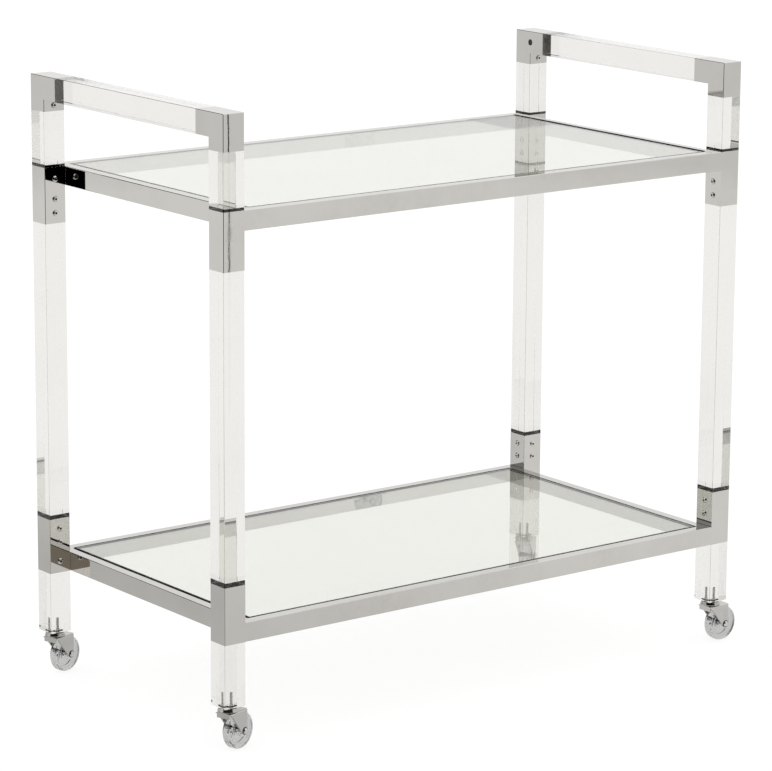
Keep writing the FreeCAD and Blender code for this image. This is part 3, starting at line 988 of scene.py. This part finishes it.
@dataclass
class SocketScrew:
    """One button-head socket screw: where its head sits, which way it faces and how long it is."""

    seat: Vector
    outward: Vector
    shank_length: float
    shank_radius: float = 0.0025
    head_radius: float = 0.0042
    head_height: float = 0.0023
    crown_radius: float = 0.0021
    # Thin black ring under the head: painted shadow where the head meets the plate
    shadow_ring_radius: float = 0.0049
    shadow_ring_height: float = 0.0002
    socket_radius: float = 0.0016
    socket_depth: float = 0.0013
    socket_chamfer: float = 0.0001
    socket_point: float = 0.0003
    crown_arc_deg: tuple[float, float] = (10.0, 90.0)

    def build(self, name: str) -> bpy.types.Object:
        """Builds the screw, with painted shade in its socket and a black ring of painted shadow under
        its head.

        Args:
            name: The new piece's name.

        Returns:
            The screw, whose second material slot is the painted shade and shadow: its socket and the
            ring under its head.
        """
        screw = turned(name, self._outline(), self.seat, self.outward, segments=24)
        for face in screw.data.polygons:
            away = face.center - self.seat
            height = away.dot(self.outward)
            radius = (away - self.outward * height).length
            # Black ring under the head is painted shadow; black inside of the socket is painted shade
            in_shadow_ring = -TOUCH < height < self.shadow_ring_height + TOUCH
            in_shaded_socket = height > self.shadow_ring_height and radius < self.socket_radius * 1.02
            face.material_index = int(in_shadow_ring or in_shaded_socket)
        return screw

    def _outline(self) -> Outline:
        """Draws the outline from the shank's end to the bottom of the socket.

        Returns:
            Its (radius, height) points.
        """
        ring, top = self.shadow_ring_height, self.head_height
        points = [(0.0, -self.shank_length), (self.shank_radius, -self.shank_length),
                  (self.shank_radius, 0.0), (self.shadow_ring_radius, 0.0), (self.shadow_ring_radius, ring),
                  (self.head_radius, ring)]
        points += arc((self.crown_radius, ring),
                      (self.head_radius - self.crown_radius, top - ring), *self.crown_arc_deg, 7)
        bottom = top - self.socket_depth
        return [*points, (self.socket_radius, top - self.socket_chamfer),
                (self.socket_radius, bottom), (0.0, bottom - self.socket_point)]


@dataclass
class Fasteners:
    """The screws of the frame and the bearing balls of the casters."""

    screws: str = "frame_screws"
    balls: str = "caster_balls"

    def dress(self, palette: Palette) -> None:
        """Builds the screws finer than packed ones and gives the fasteners their finishes.

        Args:
            palette: The cart's materials.
        """
        dress(self.balls, palette.ball_steel)
        built = [screw.build(f"socket_screw_{number}")
                 for number, screw in enumerate(self._measured())]
        # Second finish, black rubber: painted shadow under the screw heads and painted shade in their
        # sockets
        fit(joined("socket_screws", built), "frame",
            [palette.screw_steel, palette.rubber], self.screws)

    def _measured(self) -> list[SocketScrew]:
        """Measures every packed screw.

        Returns:
            The screws to build, in the order of their places.
        """
        form = bmesh.new()
        form.from_mesh(bpy.data.objects[self.screws].data)
        bmesh.ops.remove_doubles(form, verts=form.verts, dist=TOUCH)
        waiting = set(form.verts)
        found = []
        while waiting:
            piece = self._connected(waiting.pop())
            waiting -= piece
            found.append(self._measure([corner.co.copy() for corner in piece]))
        form.free()
        return sorted(found, key=lambda screw: tuple(round(value, 4) for value in screw.seat))

    @staticmethod
    def _connected(start: bmesh.types.BMVert) -> set[bmesh.types.BMVert]:
        """Gathers every corner joined to one corner through edges.

        Args:
            start: The first corner.

        Returns:
            The corners of its island.
        """
        reached = {start}
        border = [start]
        while border:
            corner = border.pop()
            for edge in corner.link_edges:
                other = edge.other_vert(corner)
                if other not in reached:
                    reached.add(other)
                    border.append(other)
        return reached

    def _measure(self, corners: list[Vector]) -> SocketScrew:
        """Measures one packed screw.

        Args:
            corners: The corners of its mesh.

        Returns:
            The screw to build in its place.
        """
        low = Vector(map(min, zip(*corners)))
        high = Vector(map(max, zip(*corners)))
        size = high - low
        axis = max(range(3), key=lambda index: size[index])
        middle = (low + high) / 2
        widest = max(corners, key=lambda corner: self._off_axis(corner - middle, axis))
        outward = Vector((0.0, 0.0, 0.0))
        outward[axis] = 1.0 if widest[axis] > middle[axis] else -1.0
        tip = middle + outward * size[axis] / 2
        head = SocketScrew.head_height
        return SocketScrew(tip - outward * head, outward, size[axis] - head)

    @staticmethod
    def _off_axis(away: Vector, axis: int) -> float:
        """Returns a vector's length square to one axis."""
        return math.hypot(*(away[index] for index in range(3) if index != axis))


@dataclass
class HoleShadeDisc:
    """A black dished disc just inside the access hole in two of the handle brackets: painted shade of
    the hole's inside.
    """

    corner: Corner
    radius: float = 0.0044
    sink: float = 0.00035
    dish: float = 0.00055
    shoulder_share: float = 0.7
    below_top: float = 0.016
    from_outer_end: float = 0.032

    def dress(self, palette: Palette) -> None:
        """Builds the black dished disc of painted shade just inside the hole.

        Args:
            palette: The cart's materials.
        """
        low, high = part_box(f"handle_bracket_{self.corner.value}")
        inward = -1.0 if low.x > 0 else 1.0
        face_x = low.x if low.x > 0 else high.x
        end_y = high.y - self.from_outer_end if high.y > 0 else low.y + self.from_outer_end
        base = Vector((face_x, end_y, high.z - self.below_top))
        share = self.shoulder_share
        outline = [(0.0, -self.sink - self.dish),
                   (self.radius * share, -self.sink - self.dish * share),
                   (self.radius, -self.sink), (self.radius, -self.sink - 2 * self.dish),
                   (0.0, -self.sink - 2 * self.dish)]
        shade_disc = turned(f"hole_plug_{self.corner.value}", outline, base,
                      Vector((inward, 0.0, 0.0)), segments=32)
        # Black rubber finish: painted shade inside the hole
        fit(shade_disc, "frame", [palette.rubber])


# Studio


@dataclass(frozen=True)
class DarkSide:
    """A dark part of the room round the studio, which only polished surfaces mirror."""

    towards: Triple
    full_deg: float
    gone_deg: float

    def share(self, sheet: Sheet, direction: bpy.types.NodeSocket) -> bpy.types.NodeSocket:
        """Returns how dark a direction is, from 0 to 1.

        Args:
            sheet: The world's node sheet.
            direction: Unit vector from the cart into the room.

        Returns:
            The share of darkness.
        """
        along = sheet.add("VectorMath", "how near the dark side", operation="DOT_PRODUCT")
        sheet.wire(direction, along.inputs[0])
        along.inputs[1].default_value = Vector(self.towards).normalized()
        gone = math.cos(math.radians(self.gone_deg))
        full = math.cos(math.radians(self.full_deg))
        return sheet.spread(along.outputs["Value"], gone, full, 0.0, 1.0)


@dataclass
class Studio:
    """Pale floor, soft light from everywhere, a dark side for the chrome, and the camera."""

    floor_radius: float = 40.0
    floor_albedo: float = 0.14
    floor_glow: float = 0.88
    sky_low: float = 1.0
    sky_high: float = 1.35
    sky_heights: tuple[float, float] = (0.25, 0.8)
    mirrored_left: float = 0.69
    mirrored_right: float = 1.0
    mirrored_end: float = 0.89
    mirrored_x: tuple[float, float] = (-0.8, 0.55)
    mirrored_radii: tuple[float, float, float, float] = (1.0, 1.9, 4.3, 4.7)
    dark_sides: tuple[DarkSide, ...] = (
        DarkSide((-0.60, -0.78, 0.20), 48.0, 60.0),
        DarkSide((-0.22, 0.75, 0.62), 26.0, 40.0),
    )
    wedge_tip: tuple[float, float] = (-0.42, -0.16)
    wedge_slope: float = 1.6
    wedge_blur: float = 0.12
    wedge_near: Triple = (0.42, 0.38, 0.33)
    wedge_radii: tuple[float, float] = (1.2, 2.2)
    stand_place: tuple[float, float] = (0.66, -1.785)
    stand_radius: float = 0.0013
    stand_height: float = 0.62
    stand_tone: Triple = (0.01, 0.01, 0.01)
    camera_place: Triple = (-2.9293, -3.8351, 1.4848)
    camera_turn_deg: Triple = (77.214, -0.372, -37.228)
    camera_lens_mm: float = 167.74

    def build(self) -> None:
        """Builds the whole studio."""
        self._colour_management()
        self._sky()
        self._floor()
        self._stand()
        self._camera()

    def _colour_management(self) -> None:
        """Keeps whites plain and lets light cross many clear walls."""
        scene = bpy.context.scene
        scene.view_settings.view_transform = "Standard"
        scene.cycles.max_bounces = 24
        scene.cycles.transmission_bounces = 20
        scene.cycles.glossy_bounces = 12

    def _sky(self) -> None:
        """Makes a soft white dome, brighter overhead, with the dark sides in its mirror image."""
        world = bpy.data.worlds.new("soft dome")
        bpy.context.scene.world = world
        world.use_nodes = True
        sheet = Sheet(world.node_tree)
        direction = sheet.add("TexCoord", "direction").outputs["Generated"]
        split = sheet.add("SeparateXYZ")
        sheet.wire(direction, split.inputs[0])
        bright = sheet.spread(split.outputs[2], *self.sky_heights, self.sky_low, self.sky_high)
        dark = sheet.maths("MAXIMUM", *(side.share(sheet, direction) for side in self.dark_sides))
        seen = sheet.maths("SUBTRACT", 1.0, sheet.maths("MULTIPLY", dark, self._mirrored(sheet)))
        background = world.node_tree.nodes["Background"]
        background.inputs["Color"].default_value = rgba((1.0, 1.0, 1.0))
        sheet.wire(sheet.maths("MULTIPLY", bright, seen), background.inputs["Strength"])

    @staticmethod
    def _mirrored(sheet: Sheet) -> bpy.types.NodeSocket:
        """Tells mirrored light from all other light.

        Args:
            sheet: A node sheet of the studio.

        Returns:
            1 for light that a surface mirrors, else 0.
        """
        light = sheet.add("LightPath")
        return sheet.maths("SUBTRACT", light.outputs["Is Glossy Ray"],
                           light.outputs["Is Transmission Ray"])

    def _floor(self) -> None:
        """Makes the white floor."""
        form = bmesh.new()
        bmesh.ops.create_circle(form, cap_ends=True, segments=96, radius=self.floor_radius)
        floor = new_object("floor", form)
        material = bpy.data.materials.new("studio floor")
        material.use_nodes = True
        sheet = Sheet(material.node_tree)
        matt = material.node_tree.nodes["Principled BSDF"]
        matt.inputs["Base Color"].default_value = rgba((self.floor_albedo,) * 3)
        matt.inputs["Roughness"].default_value = 1.0
        matt.inputs["Specular IOR Level"].default_value = 0.0
        matt.inputs["Emission Color"].default_value = rgba((1.0, 1.0, 1.0))
        matt.inputs["Emission Strength"].default_value = self.floor_glow
        mirrored = sheet.add("Emission", "what polished metal mirrors")
        sheet.wire(self._mirrored_floor(sheet), mirrored.inputs["Color"])
        either = sheet.add("MixShader")
        sheet.wire(self._mirrored(sheet), either.inputs[0])
        sheet.wire(matt.outputs[0], either.inputs[1])
        sheet.wire(mirrored.outputs[0], either.inputs[2])
        sheet.wire(either.outputs[0], material.node_tree.nodes["Material Output"].inputs[0])
        floor.data.materials.append(material)

    def _mirrored_floor(self, sheet: Sheet) -> bpy.types.NodeSocket:
        """Colours the floor's mirror image: greyer at the near left, dark in the front wedge.

        Args:
            sheet: The floor's node sheet.

        Returns:
            The colour.
        """
        where = sheet.place()
        distance = sheet.add("VectorMath", operation="LENGTH")
        sheet.wire(where, distance.inputs[0])
        radius = distance.outputs["Value"]
        split = sheet.add("SeparateXYZ")
        sheet.wire(where, split.inputs[0])
        near = sheet.spread(split.outputs[0], *self.mirrored_x,
                            self.mirrored_left, self.mirrored_right)
        close, open_floor, fading, end = self.mirrored_radii
        pale = sheet.spread(radius, close, open_floor, near, 1.0)
        pale = sheet.maths("MULTIPLY", pale,
                           sheet.spread(radius, fading, end, 1.0, self.mirrored_end))
        brown = sheet.mix(sheet.spread(radius, *self.wedge_radii, 0.0, 1.0),
                          rgba(self.wedge_near), rgba((0.0, 0.0, 0.0)))
        white = sheet.add("CombineColor")
        for socket in white.inputs:
            sheet.wire(pale, socket)
        return sheet.mix(self._in_wedge(sheet, where), white.outputs[0], brown)

    def _in_wedge(self, sheet: Sheet, where: bpy.types.NodeSocket) -> bpy.types.NodeSocket:
        """Marks the dark wedge of floor that opens towards the front left.

        Args:
            sheet: The floor's node sheet.
            where: The place on the floor.

        Returns:
            1 on the wedge, else 0, blurred at its borders.
        """
        swung = sheet.add("VectorRotate", "towards the dark side", rotation_type="Z_AXIS")
        sheet.wire(where, swung.inputs["Vector"])
        swung.inputs["Center"].default_value = (*self.wedge_tip, 0.0)
        swung.inputs["Angle"].default_value = -math.radians(self.camera_turn_deg[2])
        split = sheet.add("SeparateXYZ")
        sheet.wire(swung.outputs[0], split.inputs[0])
        out = sheet.maths("SUBTRACT", self.wedge_tip[1], split.outputs[1])
        aside = sheet.maths("ABSOLUTE", sheet.maths("SUBTRACT", split.outputs[0],
                                                    self.wedge_tip[0]))
        inside = sheet.maths("SUBTRACT", sheet.maths("MULTIPLY", out, self.wedge_slope), aside)
        return sheet.spread(inside, 0.0, self.wedge_blur, 0.0, 1.0)

    def _stand(self) -> None:
        """Stands a thin black rod at the front right, which only polished metal mirrors."""
        form = bmesh.new()
        bmesh.ops.create_cone(form, cap_ends=True, segments=12, radius1=self.stand_radius,
                              radius2=self.stand_radius, depth=self.stand_height)
        stand = new_object("light_stand", form)
        stand.location = (*self.stand_place, self.stand_height / 2)
        for ray in ("camera", "diffuse", "shadow", "transmission"):
            setattr(stand, f"visible_{ray}", False)
        material = bpy.data.materials.new("black stand")
        material.use_nodes = True
        shader = material.node_tree.nodes["Principled BSDF"]
        shader.inputs["Base Color"].default_value = rgba(self.stand_tone)
        shader.inputs["Roughness"].default_value = 1.0
        sheet = Sheet(material.node_tree)
        sheet.wire(self._mirrored(sheet), shader.inputs["Alpha"])
        stand.data.materials.append(material)

    def _camera(self) -> None:
        """Stands the camera at the front left, a little above the cart."""
        camera = bpy.data.objects.new("camera", bpy.data.cameras.new("camera"))
        camera.location = self.camera_place
        camera.rotation_euler = [math.radians(angle) for angle in self.camera_turn_deg]
        camera.data.lens = self.camera_lens_mm
        camera.data.sensor_width = 36.0
        camera.data.clip_end = 200.0
        bpy.context.scene.collection.objects.link(camera)
        bpy.context.scene.camera = camera


def main() -> None:
    """Builds the cart's looks in order, then the studio."""
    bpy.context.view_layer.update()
    palette = Palette()
    parts = [PostColumn(corner) for corner in Corner]
    parts += [HandleBars()]
    parts += [Shelf(level, rise) for level, rise in STRIP_RISE.items()]
    parts += [Caster(corner) for corner in Corner]
    parts += [Fasteners()]
    parts += [HoleShadeDisc(corner) for corner in (Corner.FRONT_LEFT, Corner.BACK_RIGHT)]
    for part in parts:
        part.dress(palette)
    Studio().build()


if __name__ == "__main__":
    logging.basicConfig(level=logging.INFO, format="%(message)s")
    main()
